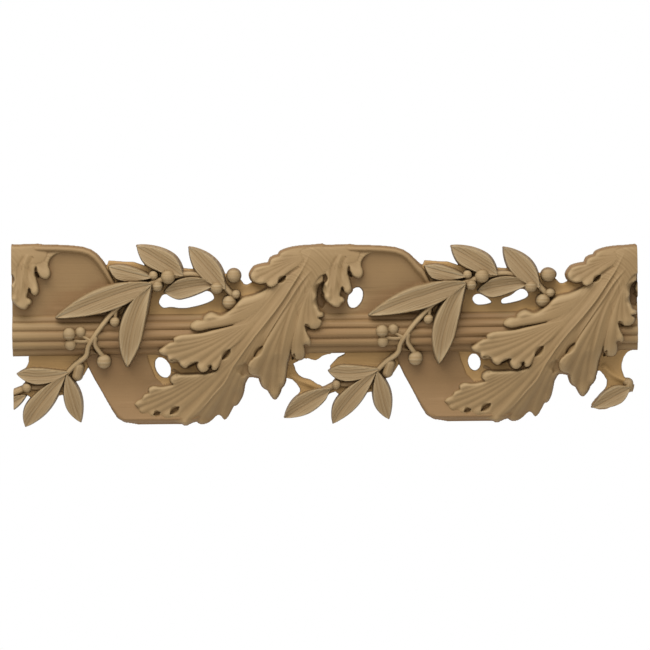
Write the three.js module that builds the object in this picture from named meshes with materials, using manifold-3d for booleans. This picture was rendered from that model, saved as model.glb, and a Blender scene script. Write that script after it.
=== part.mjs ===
// A length of carved resin moulding, cast in one piece: a reeded half-round rod with an acanthus ribbon
// wound round it and a laurel branch with berries crossing it, on thin webs, pierced between the forms.
// The flat back lies in the plane y = 0 and the carving faces -y. X runs along the rod, whose axis is z = 0.
import * as THREE from "three";
import { mergeVertices } from "three/addons/utils/BufferGeometryUtils.js";
import Module from "manifold-3d";

// Driving sizes in millimetres
const REPEAT_LENGTH = 152.4;
const REPEATS = 2;
const WEB_THICKNESS = 2.9;
const ROD_HEIGHT = 9.9;
const REED_RADIUS = 2.55;
const REED_COUNT = 5;
const REED_CIRCLE = 9.1;
const REED_PITCH_ANGLE = 26;
const REED_VALLEY = 0.7;
const REED_SHOULDER_ANGLE = 32;
const BERRY_SIDES = 7;

// The carving is drawn on a grid of 312 steps to a repeat: u runs along the rod, v up from its axis and
// w out from the back. All of it takes its size from the length of a repeat.
const STEPS = 312;
const STEP = REPEAT_LENGTH / STEPS;
const RUN = STEPS * REPEATS;
const UPPER_EDGE_FALL = 0.08;
const WEB = WEB_THICKNESS / STEP;

// The second carving leans a little, by hand: how far each step of height moves along the run at places u,
// above the rod and below it
const LEAN_AT = [312, 332, 396, 409, 437, 489, 512, 536, 546, 573, 592, 624];
const LEAN_ABOVE = [0, 0, 0, 0.05, 0.02, 0.02, 0.025, 0.03, 0.065, 0.04, 0.02, 0];
const LEAN_BELOW = [0, 0.06, 0.035, 0.035, 0.03, 0.01, 0.01, 0.02, 0.06, 0.065, 0.03, 0];

// Raw solids start this far below the back, before the back is cut flat
const SUNK = WEB;

// Laurel leaves: base [u, v, w], bend [u, v], tip [u, v, w], half-width and where it is widest on the left
// of the line from base to tip, the same on its right, and how far the edges stand above the middle
const LEAVES = [
  [[170, 60, 19], [151, 74], [125.2, 88.6, 13], [12, 0.66], [11.4, 0.42], 1.2],
  [[212, 47, 20], [196, 67], [177, 87.5, 12], [11.6, 0.52], [12.4, 0.46], 1.2],
  [[138, 58, 22], [118, 63], [96, 69, 16], [10.5, 0.7], [4.5, 0.6], 0.8],
  [[138, 51, 25], [108, 45.5], [44, 18.5, 22], [14.2, 0.52], [10, 0.6], 1.4],
  [[138, 49, 25], [116, 16], [114.5, -31.5, 24], [12.2, 0.62], [12.2, 0.56], 1.4],
  [[203, 51, 17], [178, 49], [152, 42, 15], [11.5, 0.76], [10.5, 0.58], 2.4],
  [[54, -37, 15], [30, -43], [3.5, -38.5, 10], [8.5, 0.6], [9, 0.7], 1],
  [[51, -41, 15], [24, -68], [11, -92, 9], [11.5, 0.55], [11.5, 0.68], 1.2],
  [[54, -40, 15], [58, -62], [67, -88.5, 9], [9.8, 0.4], [10.6, 0.62], 1],
  [[70, -24, 15], [67, -34], [62.5, -45.5, 13], [5.4, 0.6], [5.4, 0.6], -2.4],
  [[317, -57, 13], [296, -68], [270.5, -85, 10], [9.6, 0.55], [12, 0.6], 2.2],
  [[314, -57, 11], [298, -55], [274, -44.5, 8], [5, 0.4], [5.5, 0.45], 0.6],
];

// Berries: [u, v], radius and the height of the centre
const BERRIES = [
  [57, 2, 6.3, 20], [68, 4, 5.2, 19.5], [58, -8.5, 5.6, 18.5], [91, -26, 7, 15], [102.5, 14, 4.9, 21],
  [13.5, -52, 4.8, 9], [141.5, 59.5, 4.3, 19], [156, 58, 7, 18], [145, 49, 5.4, 19],
  [204.5, 47, 6.2, 18], [221.5, 58.3, 7.6, 13], [217, 32, 7, 16], [223.5, 40, 4.2, 18],
];

// Stems: half-width and the points [u, v, w] that they pass
const STEMS = [
  [2.5, [[53, -39, 14], [62, -29.5, 16], [73, -20.5, 19], [75.5, -11, 22], [80, -3, 24], [92, 13, 24],
    [104, 26.5, 24], [120, 40, 24], [138, 51, 25]]],
  [2, [[83, -2, 24], [83, -10, 22], [91, -22, 18]]],
  [1.7, [[80, -4, 23], [72, -5.5, 22], [62, -5, 21]]],
  [1.5, [[77, -4, 23], [66, 2, 21]]],
  [1.7, [[104, 27, 23], [102.5, 15, 22]]],
  [2.4, [[140, 52, 22], [160, 58, 19], [178, 60.5, 18], [195, 58, 18], [208, 53, 19], [214, 46, 19],
    [221, 38, 18]]],
  [2.8, [[13, -52, 9], [26, -52, 10], [38, -49.5, 12], [51, -41, 14]]],
  [3, [[308, -59, 12], [318, -55, 11], [328, -51, 9]]],
];

// The middle rib of the acanthus from top to bottom as [u, v], and the width of its sheet on either side
const RIB = [[299, 86], [286, 59], [265, 26], [246, 4], [231, -17], [210, -50], [185, -77], [171, -89]];
const SHEET_LEFT = [6, 18, 30, 22, 14, 16, 10, 3];
const SHEET_RIGHT = [30, 22, 20, 20, 14, 14, 9, 3];
// Height of the sheet's crest over the back at heights v
const CREST_AT = [-92, -84, -60, -40, -20, 0, 20, 50, 75, 84, 90];
const CREST = [11, 14.5, 20, 25, 28.5, 30, 29, 26, 22, 19, 17];

// Acanthus lobes: the line [u, v] to [u, v] that their flutes spread from, the direction they leave it in,
// how far their free edge stands over the sheet, and that edge as [u, v]
const LOBES = [
  [[[222, -26], [205, -56]], [-0.72, -0.69], 3, [[205, -34], [196, -38.5], [183, -39.5], [168, -40],
    [163, -39.4], [158.3, -42.5], [157.5, -46.5], [160, -49.5], [147, -52.5], [140, -51.5], [135, -54],
    [135.5, -58.5], [129, -61.5], [128, -65], [121, -69], [124.5, -73.5], [126.5, -78.5], [135, -82.5],
    [150, -84], [168, -89]]],
  [[[204, -56], [246, -6]], [-0.62, -0.78], 0, [[171.7, -92], [178, -89], [183.3, -88.3], [188.3, -91],
    [194, -89.8], [202.3, -83.5], [206.5, -82.5], [211, -87.6], [215.5, -83.2], [219.3, -75.8],
    [224.3, -71.8], [228.6, -65], [231, -52.8], [232.5, -48], [237, -43]]],
  [[[262, 48], [272, 40]], [-0.8, -0.6], 1.5, [[226, 33], [215, 22], [208, 18.8], [200, 21.5],
    [194.5, 20], [190, 14.5], [184, 14.3], [178.4, 9.5], [181.5, 5], [190, 4.2], [206, 7], [226, 12]]],
  [[[256, 32], [246, -2]], [-0.8, -0.6], 2.5, [[200, 4.5], [178, 0.8], [166, -0.5], [161, -4],
    [160.5, -7.5], [153.5, -10], [146.5, -16], [154.5, -20.6], [156, -25], [166, -26.6], [172, -32.5],
    [184, -27], [186, -34.5], [191.5, -36.6], [196.6, -31], [200.5, -35], [206.5, -29.6], [210, -22],
    [218, -13.6]]],
  [[[302, 84], [296, 72]], [-0.95, -0.3], 2, [[292, 88.6], [280, 87], [269, 83.6], [264.5, 79],
    [258, 76.5], [256, 71], [242.5, 67.6], [237.6, 59.5], [240, 52.5], [253.5, 51], [258.5, 47.5],
    [264, 50.2], [272.5, 59.5]]],
  [[[262, 16], [286, 30]], [-0.5, -0.87], 5, [[249.5, -11.5], [240.5, -23.5], [234, -31], [236.4, -40.3],
    [244.4, -43.6], [246.8, -51.8], [253.4, -58.2], [261.3, -67.6], [266.5, -58.5], [270.8, -49], [272.5, -39],
    [276, -21], [281, -2]]],
  [[[285, 36], [301, 58]], [-0.35, -0.93], 1, [[278.3, -9], [278, -19], [284, -25.6], [289.5, -24.5],
    [291.2, -14], [296.8, -10.8], [293.5, 2], [292.5, 8], [301, 4.8], [308, 9.5], [306.5, 16],
    [309.5, 19.5], [304, 29.5], [303.5, 38.5], [308, 50]]],
  [[[305, 84], [344, 84]], [-0.1, -1], 3.5, [[306, 70], [309.5, 57], [309.9, 44], [312.5, 36],
    [321.5, 27.8], [326.5, 28], [330.8, 34], [328, 38.5], [331, 47.5], [337.5, 42], [340.3, 47],
    [336.8, 62], [338.3, 68], [341, 61], [348.5, 56.6], [354, 61], [352.6, 72]]],
];
const LOBE_STATIONS = [0, 0.6, 1];
const ROOT_DROP = 4.4;
const RIDGE = 0.9;
const FURROW = 1.1;
const LOBE_EDGE_DROP = 1.2;
const SHEET_DROP = 2.2;

// Thin webs between the forms: the corners [u, v] of closed outlines
const WEBS = [
  [[96, 12], [92, 60], [97, 73], [110, 72], [122, 71.5], [132, 68], [150, 68], [170, 69], [182, 65.5],
    [196, 63], [214, 59.5], [227, 55], [231, 49.5], [234, 48.3], [237, 49.5], [241, 52], [262, 52], [266, 12]],
  [[-38, -12], [-36, -27], [-22, -25], [-10, -27.5], [8, -20], [15, -20], [15, -25], [6, -34], [8, -42],
    [20, -46], [40, -45], [58, -44], [65, -45.5], [70, -40], [74, -33], [78, -12]],
  [[126, -12], [130, -30], [140, -50], [165, -62], [215, -50], [232, -36], [238, -12]],
  [[-9, -58], [0, -55.5], [7, -53], [11, -48], [14, -44], [20, -47], [58, -44], [56, -58], [47, -60],
    [36, -62], [17, -62], [13, -59], [6, -61], [-2, -66]],
  [[262, -12], [262, -44], [274, -46], [286, -58], [296, -52], [283, -38], [279, -31], [290, -25],
    [300, -12]],
];

// The plain ribbon. Rows of its concave back above the rod run down from the rim, as [u, v] of the edge;
// rows below the rod run from the rod to the lower lip, as v, left u, right u and height w
const BACK_EDGE = [[-22, 88.4], [20, 88.4], [45, 88.3], [60, 87.8], [72, 86.7], [81, 84], [88, 79.5],
  [94, 73], [100, 62], [108, 44]];
const BACK_ROWS = [[0, 0, 13.8], [0.065, 0.05, 14.3], [0.105, 0.075, 10.4], [0.55, 0.3, 9.4], [1, 0.5, 6.5]];
const BACK_FOOT = [60, 14];
const APRON_ROWS = [
  [-12, 66, 132, 8], [-28, 72, 136, 8], [-43, 79.5, 142, 8], [-60.5, 89.5, 160, 8.5], [-74, 97.5, 180, 11],
  [-82, 103, 188, 14.5], [-87, 110, 184, 16], [-90, 124, 176, 15],
];

// The piercing before a branch
const BRANCH_OPENING = [[281.6, -31], [287, -28.6], [294.4, -25.6], [302, -28.2], [310, -23], [320, -21],
  [330.5, -20.2], [332.5, -22], [320.4, -28], [313.6, -36.5], [317, -43.5], [307, -53], [297, -47.6],
  [287.6, -44.6], [282, -38]];

// Where the run is cut, its branches are not the same. The first one: its opening and its last leaf
const START_OPENING = [[300, -18], [325, -18], [327.4, -24], [327, -28], [323, -35], [318, -40.5],
  [318.5, -44], [322, -48], [320, -52], [312, -55.5], [300, -60]];
const START_LEAF = [[328, -58, 12], [312, -64.5], [290, -78, 9], [8.6, 0.6], [8.6, 0.6], 1.5];

// The last one is a single leaf: the web under it, the stem beside it, and all beyond it is open
const END_WEB = [[262, -12], [262, -41], [270, -42], [276, -40.5], [280, -45], [283.5, -51], [283, -57],
  [279, -64], [273, -70], [270, -75], [271, -79], [277, -81.5], [283, -81], [289, -78], [292, -73],
  [303, -66], [307.5, -62.5], [309.5, -57], [308, -52], [302.5, -52], [299, -48], [296.5, -41],
  [296.5, -34], [298.5, -27], [302.5, -22], [312, -19], [312, -12]];
const END_OPENING = [[312, -20], [303, -22.5], [299, -28], [296.8, -36], [297.8, -44], [300.5, -50],
  [304, -52], [308, -51.5], [310, -55], [310, -60], [309, -66], [303, -72], [330, -100], [335, -60],
  [333, -20]];
const END_STEM = [2.3, [[274, -32, 8.5], [285, -41.5, 10], [295, -49, 11], [304, -55, 13]]];
const END_LEAF = [[308, -57, 14], [290, -66], [270, -79, 10], [9.6, 0.58], [8.4, 0.58], 2];

// The piercings of the two carvings that take turns along the run: closed outlines, and ovals as [u, v],
// long half-axis, short half-axis and the turn of the long one in degrees
const PIERCINGS = [
  {
    outlines: [
      [[145.6, 31], [147.5, 37], [151, 40.3], [160, 40], [175, 42], [188, 43.5], [198, 42.6],
        [202.3, 36.5], [200, 32.5], [190, 28.6], [175, 25.2], [165, 25.2], [158, 26.2], [150, 25.4]],
    ],
    ovals: [[149.5, -33.5, 11.4, 7.6, -66]],
  },
  {
    outlines: [
      [[146, 34], [149.5, 38.5], [155, 38.5], [162, 34], [165.5, 30], [164, 28], [155, 27], [149, 28]],
      [[175.5, 30], [177, 34], [185, 37], [193.5, 43.8], [200, 43], [203, 37], [200, 33.5], [191, 30.5],
        [178, 27.8]],
    ],
    ovals: [[149.6, -31.2, 8.8, 6.3, -80], [30.6, 35.3, 11.4, 7.2, 68]],
  },
];

const LEAF_SEGMENTS = 5;
const SHEET_SEGMENTS = 8;
const OVAL_POINTS = 12;

const wasm = await Module();
wasm.setup();

function toRadians(degrees) {
  return (degrees * Math.PI) / 180;
}

// A place on the drawing grid, in millimetres. Above the rod the carving falls a little along the run.
function place([u, v, w]) {
  const upright = v > 0 ? 1 - (UPPER_EDGE_FALL * (u - STEPS / 2)) / RUN : 1;
  const lean = ramp(u, LEAN_AT, v > 0 ? LEAN_ABOVE : LEAN_BELOW) * v;
  return new THREE.Vector3((u + lean - RUN / 2) * STEP, -w * STEP, v * STEP * upright);
}

function solidFrom(geometry) {
  geometry.deleteAttribute("normal");
  geometry.deleteAttribute("uv");
  const merged = mergeVertices(geometry, 1e-4);
  const index = merged.index.array;
  const faces = [];
  for (let i = 0; i < index.length; i += 3) {
    const [a, b, c] = [index[i], index[i + 1], index[i + 2]];
    if (a !== b && b !== c && c !== a) {
      faces.push(a, b, c);
    }
  }
  return new wasm.Manifold(new wasm.Mesh({
    numProp: 3,
    vertProperties: new Float32Array(merged.attributes.position.array),
    triVerts: new Uint32Array(faces),
  }));
}

// Value of a broken line through the points (xs, ys), level beyond its ends
function ramp(x, xs, ys) {
  if (x <= xs[0]) {
    return ys[0];
  }
  const i = xs.findIndex((at) => at >= x);
  if (i < 0) {
    return ys[ys.length - 1];
  }
  return ys[i - 1] + ((ys[i] - ys[i - 1]) * (x - xs[i - 1])) / (xs[i] - xs[i - 1]);
}

// A solid from rows of points [u, v, w] on its face, dropped to below the back
function patch(rows) {
  const columns = rows[0].length;
  const count = rows.length * columns;
  const at = (row, column, low) => row * columns + column + (low ? count : 0);
  const top = rows.flat();
  const bottom = top.map(([u, v]) => [u, v, -SUNK]);
  let area = 0;
  const faces = [];
  const quad = (a, b, c, d) => faces.push(a, b, c, a, c, d);
  for (let i = 0; i + 1 < rows.length; i += 1) {
    for (let j = 0; j + 1 < columns; j += 1) {
      const [p, q, r, s] = [rows[i][j], rows[i][j + 1], rows[i + 1][j + 1], rows[i + 1][j]];
      area += (r[0] - p[0]) * (s[1] - q[1]) - (s[0] - q[0]) * (r[1] - p[1]);
      quad(at(i, j), at(i, j + 1), at(i + 1, j + 1), at(i + 1, j));
      quad(at(i, j, true), at(i + 1, j, true), at(i + 1, j + 1, true), at(i, j + 1, true));
    }
  }
  const rim = [];
  for (let j = 0; j < columns; j += 1) rim.push(at(0, j));
  for (let i = 1; i < rows.length; i += 1) rim.push(at(i, columns - 1));
  for (let j = columns - 2; j >= 0; j -= 1) rim.push(at(rows.length - 1, j));
  for (let i = rows.length - 2; i > 0; i -= 1) rim.push(at(i, 0));
  rim.forEach((a, k) => {
    const b = rim[(k + 1) % rim.length];
    quad(a, a + count, b + count, b);
  });
  if (area < 0) {
    faces.reverse();
  }
  const geometry = new THREE.BufferGeometry();
  const position = new Float32Array([...top, ...bottom].flatMap((point) => place(point).toArray()));
  geometry.setAttribute("position", new THREE.BufferAttribute(position, 3));
  geometry.setIndex(faces);
  return solidFrom(geometry);
}

// A plate or, where it cuts, a punch: a closed outline between two heights
function plate(outline, low, high) {
  const points = outline.map(([u, v]) => place([u, v, 0]));
  const shape = new THREE.Shape(points.map((point) => new THREE.Vector2(point.x, point.z)));
  const geometry = new THREE.ExtrudeGeometry(shape, { depth: (high - low) * STEP, bevelEnabled: false });
  geometry.rotateX(Math.PI / 2);
  geometry.translate(0, -low * STEP, 0);
  return solidFrom(geometry);
}

function shifted(corners, shift) {
  return corners.map(([u, v]) => [u + shift, v]);
}

function web(corners, shift) {
  return plate(shifted(corners, shift), -SUNK, WEB);
}

function ovalOutline([u, v, long, short, turn], shift) {
  const curve = new THREE.EllipseCurve(u + shift, v, long, short, 0, Math.PI * 2, false, toRadians(turn));
  return curve.getPoints(OVAL_POINTS).slice(0, -1).map((point) => [point.x, point.y]);
}

// Share of the full half-width at the share s of a leaf's length
function leafWidth(s, widest) {
  if (s < widest) {
    return 0.12 + 0.88 * Math.sin((0.5 * Math.PI * s) / widest) ** 0.9;
  }
  return Math.max(Math.cos((0.5 * Math.PI * (s - widest)) / (1 - widest)), 0) ** 0.8;
}

// Rows across a line of stations: each station gives its middle, its direction and its own points
// across, as [share of the left or right half-width, height]
function rowsAcross(stations) {
  return stations.map(({ middle, along, across }) => {
    const side = new THREE.Vector2(-along.y, along.x).normalize();
    return across.map(([offset, height]) => [
      middle.x + side.x * offset,
      middle.y + side.y * offset,
      height,
    ]);
  });
}

function bend(from, through, to, shift) {
  return new THREE.QuadraticBezierCurve(
    new THREE.Vector2(from[0] + shift, from[1]),
    new THREE.Vector2(through[0] + shift, through[1]),
    new THREE.Vector2(to[0] + shift, to[1]),
  );
}

function laurelLeaf([base, through, tip, left, right, dish], shift) {
  const line = bend(base, through, tip, shift);
  const stations = [];
  for (let i = 0; i <= LEAF_SEGMENTS; i += 1) {
    const s = i / LEAF_SEGMENTS;
    const middle = base[2] + (tip[2] - base[2]) * s + 1.5 * Math.sin(Math.PI * s);
    const end = i === LEAF_SEGMENTS ? 0 : 1;
    const edge = middle + dish * end;
    stations.push({
      middle: line.getPoint(s),
      along: line.getTangent(s),
      across: [
        [left[0] * leafWidth(s, left[1]) * end, edge],
        [0, middle],
        [-right[0] * leafWidth(s, right[1]) * end, edge],
      ],
    });
  }
  return patch(rowsAcross(stations));
}

function berry([u, v, radius, centre], shift) {
  const size = radius * STEP;
  const profile = [new THREE.Vector2(0, centre * STEP + size)];
  const shoulder = toRadians(48);
  profile.push(new THREE.Vector2(size * Math.cos(shoulder), centre * STEP + size * Math.sin(shoulder)));
  profile.push(new THREE.Vector2(size, centre * STEP));
  profile.push(new THREE.Vector2(size, -SUNK * STEP), new THREE.Vector2(0, -SUNK * STEP));
  const geometry = new THREE.LatheGeometry(profile.reverse(), BERRY_SIDES);
  geometry.rotateZ(Math.PI);
  const middle = place([u + shift, v, 0]);
  geometry.translate(middle.x, 0, middle.z);
  return solidFrom(geometry);
}

function stem([half, points], shift) {
  const line = new THREE.CatmullRomCurve3(
    points.map(([u, v, w]) => new THREE.Vector3(u + shift, v, w)), false, "catmullrom", 0.5);
  const count = Math.max(2, Math.round((points.length - 1) * 1.25));
  const stations = [];
  for (let i = 0; i <= count; i += 1) {
    const middle = line.getPoint(i / count);
    stations.push({
      middle,
      along: line.getTangent(i / count),
      across: [[half, middle.z - half], [0, middle.z], [-half, middle.z - half]],
    });
  }
  return patch(rowsAcross(stations));
}

// The long roll of the acanthus sheet: highest along its rib, falling away on both sides
function sheetHeight(u, v) {
  const ribV = RIB.map((point) => point[1]).reverse();
  const ribU = RIB.map((point) => point[0]).reverse();
  const off = u - ramp(v, ribV, ribU);
  const fallLeft = 0.1 * Math.max(-off - 6, 0);
  const fallRight = Math.min(ramp(v, [-60, -10], [0.42, 0.13]) * Math.max(off - 2, 0), 12);
  return ramp(v, CREST_AT, CREST) - fallLeft - fallRight;
}

function acanthusSheet(shift) {
  const line = new THREE.CatmullRomCurve3(RIB.map(([u, v]) => new THREE.Vector3(u, v, 0)));
  const knots = RIB.map((point, i) => i / (RIB.length - 1));
  const stations = [];
  for (let i = 0; i <= SHEET_SEGMENTS; i += 1) {
    const s = i / SHEET_SEGMENTS;
    const middle = line.getPoint(s);
    const along = line.getTangent(s);
    const side = new THREE.Vector2(-along.y, along.x).normalize();
    const right = ramp(s, knots, SHEET_RIGHT);
    const left = -ramp(s, knots, SHEET_LEFT);
    const across = [right, right / 2, 0, left / 2, left].map((offset) => {
      const height = sheetHeight(middle.x + side.x * offset, middle.y + side.y * offset);
      return [offset, height - (offset === 0 ? 0 : SHEET_DROP)];
    });
    stations.push({ middle: new THREE.Vector2(middle.x + shift, middle.y), along, across });
  }
  return patch(rowsAcross(stations));
}

// An acanthus lobe: a fan of low ridges and furrows, from the line at its root out to the tips and notches
// of its free edge
function lobe([[from, to], direction, lift, edge], shift) {
  const lean = new THREE.Vector2(...direction).normalize();
  const corners = edge.map((corner) => new THREE.Vector2(...corner));
  const lines = corners.map((end, i) => {
    const before = end.clone().sub(corners[Math.max(i - 1, 0)]);
    const after = corners[Math.min(i + 1, corners.length - 1)].clone().sub(end);
    const turn = before.cross(after);
    const drop = turn > 0 ? -RIDGE : FURROW;
    const start = new THREE.Vector2(...from).lerp(new THREE.Vector2(...to), i / (corners.length - 1));
    const through = start.clone().addScaledVector(lean, start.distanceTo(end) / 2);
    const line = new THREE.QuadraticBezierCurve(start, through, end);
    return LOBE_STATIONS.map((s) => {
      const point = line.getPoint(s);
      const relief = s === 0 ? ROOT_DROP : drop * s ** 2 + LOBE_EDGE_DROP * s ** 4;
      return [point.x + shift, point.y, sheetHeight(point.x, point.y) + lift * s ** 1.5 - relief];
    });
  });
  return patch(lines);
}

function ribbonBack(shift) {
  const [footU, footV] = BACK_FOOT;
  return patch(BACK_ROWS.map(([down, inward, height]) => BACK_EDGE.map(([u, v]) => [
    u + shift - inward * Math.max(u - footU, 0) * 0.4,
    v + (footV - v) * down,
    height,
  ])));
}

function ribbonApron(shift) {
  return patch(APRON_ROWS.map(([v, left, right, height]) => [
    [left + shift, v, height],
    [left + shift + 7, v, height - 1],
    [(left + right) / 2 + shift, v, height - 1],
    [right + shift, v, height],
  ]));
}

// The reeded half-round rod: reeds side by side round a circle whose front is the rod's height
function reededRod() {
  const arc = [];
  const onCircle = (degrees, out) => {
    const turn = toRadians(degrees);
    const front = ROD_HEIGHT - REED_RADIUS - REED_CIRCLE;
    const reach = REED_CIRCLE + out;
    return new THREE.Vector2(reach * Math.sin(turn), front + reach * Math.cos(turn));
  };
  const half = ((REED_COUNT - 1) / 2) * REED_PITCH_ANGLE;
  for (let degrees = -half; degrees <= half; degrees += REED_PITCH_ANGLE) {
    const middle = onCircle(degrees, 0);
    for (const angle of [-REED_SHOULDER_ANGLE, REED_SHOULDER_ANGLE]) {
      const lean = toRadians(degrees + angle);
      arc.push(new THREE.Vector2(Math.sin(lean), Math.cos(lean)).multiplyScalar(REED_RADIUS).add(middle));
    }
    if (degrees < half) {
      arc.push(onCircle(degrees + REED_PITCH_ANGLE / 2, REED_VALLEY));
    }
  }
  const back = -SUNK * STEP;
  const outline = [new THREE.Vector2(arc[0].x, back), ...arc, new THREE.Vector2(arc[arc.length - 1].x, back)];
  const length = (RUN + 2 * SUNK) * STEP;
  const geometry = new THREE.ExtrudeGeometry(new THREE.Shape(outline), { depth: length, bevelEnabled: false });
  // The section was drawn with z across and the height over the back upwards, and is turned to run along x
  const turned = new THREE.Matrix4().makeBasis(
    new THREE.Vector3(0, 0, 1), new THREE.Vector3(0, -1, 0), new THREE.Vector3(1, 0, 0));
  geometry.applyMatrix4(turned);
  geometry.translate(-length / 2, 0, 0);
  return solidFrom(geometry);
}

function joined(solids) {
  return solids.reduce((sum, solid) => sum.add(solid));
}

function eachRepeat(make) {
  const made = [];
  for (let k = -1; k <= REPEATS; k += 1) {
    made.push(...make(k * STEPS, k));
  }
  return made;
}

// What stands in the carving k: something else where it is cut at the start or at the end of the run
function atEnds(k, between, start, end) {
  if (k === -1) {
    return start;
  }
  return k === REPEATS - 1 ? end : between;
}

function ground() {
  const solids = eachRepeat((shift, k) => [
    ...WEBS.slice(0, -1).map((corners) => web(corners, shift)),
    web(atEnds(k, WEBS.at(-1), WEBS.at(-1), END_WEB), shift),
    ribbonBack(shift),
    ribbonApron(shift),
  ]);
  const punches = eachRepeat((shift, k) => {
    const { outlines, ovals } = PIERCINGS[k % 2 === 1 ? 1 : 0];
    const branch = atEnds(k, BRANCH_OPENING, START_OPENING, END_OPENING);
    const edges = [
      ...[...outlines, branch].map((corners) => shifted(corners, shift)),
      ...ovals.map((oval) => ovalOutline(oval, shift)),
    ];
    return edges.map((edge) => plate(edge, -2 * SUNK, (2 * ROD_HEIGHT) / STEP));
  });
  return joined(solids).subtract(joined(punches));
}

function carving() {
  return eachRepeat((shift, k) => [
    acanthusSheet(shift),
    ...LOBES.map((item) => lobe(item, shift)),
    ...STEMS.slice(0, -1).map((item) => stem(item, shift)),
    stem(atEnds(k, STEMS.at(-1), STEMS.at(-1), END_STEM), shift),
    ...atEnds(k, LEAVES, LEAVES.slice(0, -2), LEAVES.slice(0, -2)).map((item) => laurelLeaf(item, shift)),
    ...atEnds(k, [], [START_LEAF], [END_LEAF]).map((item) => laurelLeaf(item, shift)),
    ...BERRIES.map((item) => berry(item, shift)),
  ]);
}

// The space that the cast fills: in front of the flat back and between the square-cut ends
function slab() {
  const depth = 4 * ROD_HEIGHT;
  const geometry = new THREE.BoxGeometry(RUN * STEP, depth, 2 * REPEAT_LENGTH);
  geometry.translate(0, -depth / 2, 0);
  return solidFrom(geometry);
}

function mouldingGeometry() {
  const mesh = joined([ground(), reededRod(), ...carving()]).intersect(slab()).getMesh();
  const geometry = new THREE.BufferGeometry();
  geometry.setAttribute("position", new THREE.BufferAttribute(new Float32Array(mesh.vertProperties), 3));
  geometry.setIndex(new THREE.BufferAttribute(new Uint32Array(mesh.triVerts), 1));
  geometry.computeVertexNormals();
  return geometry;
}

const resin = new THREE.MeshStandardMaterial({ color: 0xa1875f, roughness: 0.75, metalness: 0 });
const moulding = new THREE.Mesh(mouldingGeometry(), resin);
moulding.name = "moulding";

const group = new THREE.Group();
group.add(moulding);

export default group;
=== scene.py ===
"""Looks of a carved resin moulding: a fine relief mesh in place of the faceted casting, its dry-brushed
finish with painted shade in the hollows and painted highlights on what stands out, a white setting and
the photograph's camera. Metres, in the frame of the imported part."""
import math

import bmesh
import bpy
import numpy as np
from mathutils import Matrix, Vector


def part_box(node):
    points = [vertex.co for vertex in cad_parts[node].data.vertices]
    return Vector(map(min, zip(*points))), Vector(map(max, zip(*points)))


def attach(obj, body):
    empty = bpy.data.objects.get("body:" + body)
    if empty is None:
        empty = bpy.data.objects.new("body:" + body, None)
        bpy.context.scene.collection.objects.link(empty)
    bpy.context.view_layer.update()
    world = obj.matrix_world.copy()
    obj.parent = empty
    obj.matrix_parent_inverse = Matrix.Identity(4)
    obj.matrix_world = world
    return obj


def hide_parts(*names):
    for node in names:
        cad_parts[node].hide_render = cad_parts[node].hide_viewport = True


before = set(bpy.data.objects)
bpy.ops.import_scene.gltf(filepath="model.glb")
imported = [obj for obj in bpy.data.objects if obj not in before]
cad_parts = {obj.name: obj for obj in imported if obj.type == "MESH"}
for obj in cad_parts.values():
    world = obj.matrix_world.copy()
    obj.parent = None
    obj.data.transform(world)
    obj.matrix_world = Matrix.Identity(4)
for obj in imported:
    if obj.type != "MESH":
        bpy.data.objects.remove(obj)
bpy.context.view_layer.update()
LOW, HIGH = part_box("moulding")

# The carving is drawn on a grid of 312 steps to a repeat: u runs along the rod, v up from its axis and
# w out from the flat back. STEP is the size of one step in metres.
REPEAT = 312
REPEATS = 2
RUN = REPEAT * REPEATS
STEP = (HIGH[0] - LOW[0]) / RUN
# Over the whole run, the carving above the rod gets lower by this share of its height
UPPER_EDGE_FALL = 0.08
# The second carving leans a little: how far each step of height moves along the run at places u, above the
# rod and below it
LEAN_AT = [312, 332, 396, 409, 437, 489, 512, 536, 546, 573, 592, 624]
LEAN_ABOVE = [0, 0, 0, 0.05, 0.02, 0.02, 0.025, 0.03, 0.065, 0.04, 0.02, 0]
LEAN_BELOW = [0, 0.06, 0.035, 0.035, 0.03, 0.01, 0.01, 0.02, 0.06, 0.065, 0.03, 0]

# The pitch of the grid and its lowest and highest row, in steps, and its height w where there is no form
GRID = 0.5
V_RANGE = (-97, 95)
OUTSIDE = -40.0

# About how many triangles the mesh keeps, how near points are one point and how near the back plane all is
# plain back, both in metres, and from what bend an edge is sharp, in degrees
MOST_TRIANGLES = 195000
WELD = 1e-6
BACK_GAP = 1e-5
SHARP_BEND = 50

# How steeply walls drop, and in steps: the height of the thin webs, the rounded rim of the webs and the
# ribbon, how deep the roots of the lobes lie in the sheet, and above what heights veins and folds show
WALL_SLOPE = 9.0
WEB = 5.9
PLATE_RIM = 1.4
ROOT_SUNK = 2.4
VEINS_ABOVE = 16
FOLDS_ABOVE = 3

# For each kind of form: its fillet with what it meets, in steps, and its number for the finish, which is 1
# for the driest brushing and falls to 0, then goes below 0 for the browner ribbon and the warm webs
KINDS = {
    "leaf": (0.6, 1.0),
    "berry": (0.4, 0.7),
    "stem": (0.6, 0.5),
    "lobe": (0.5, 0.3),
    "rod": (0.5, 0.1),
    "back": (1.2, -0.12),
    "apron": (1.2, -0.24),
    "web": (1.2, -1.0),
}
# Grain lengths in steps: from one leaf to the next, and of a whole stem
LEAF_GRAIN = 40
STEM_GRAIN = 60

# The rod's reeds: the angle between two, the circle that they stand on, the radius of each and how far out
# the middle one reaches
REED_PITCH = math.radians(26)
REED_CIRCLE = 18.6
REED_RADIUS = 5.2
REED_FRONT = 20.3

# Hollows are measured at these sizes, in steps, each with its weight
CAVITY_SIZES = [(1.4, 0.16), (4, 0.09)]

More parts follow.
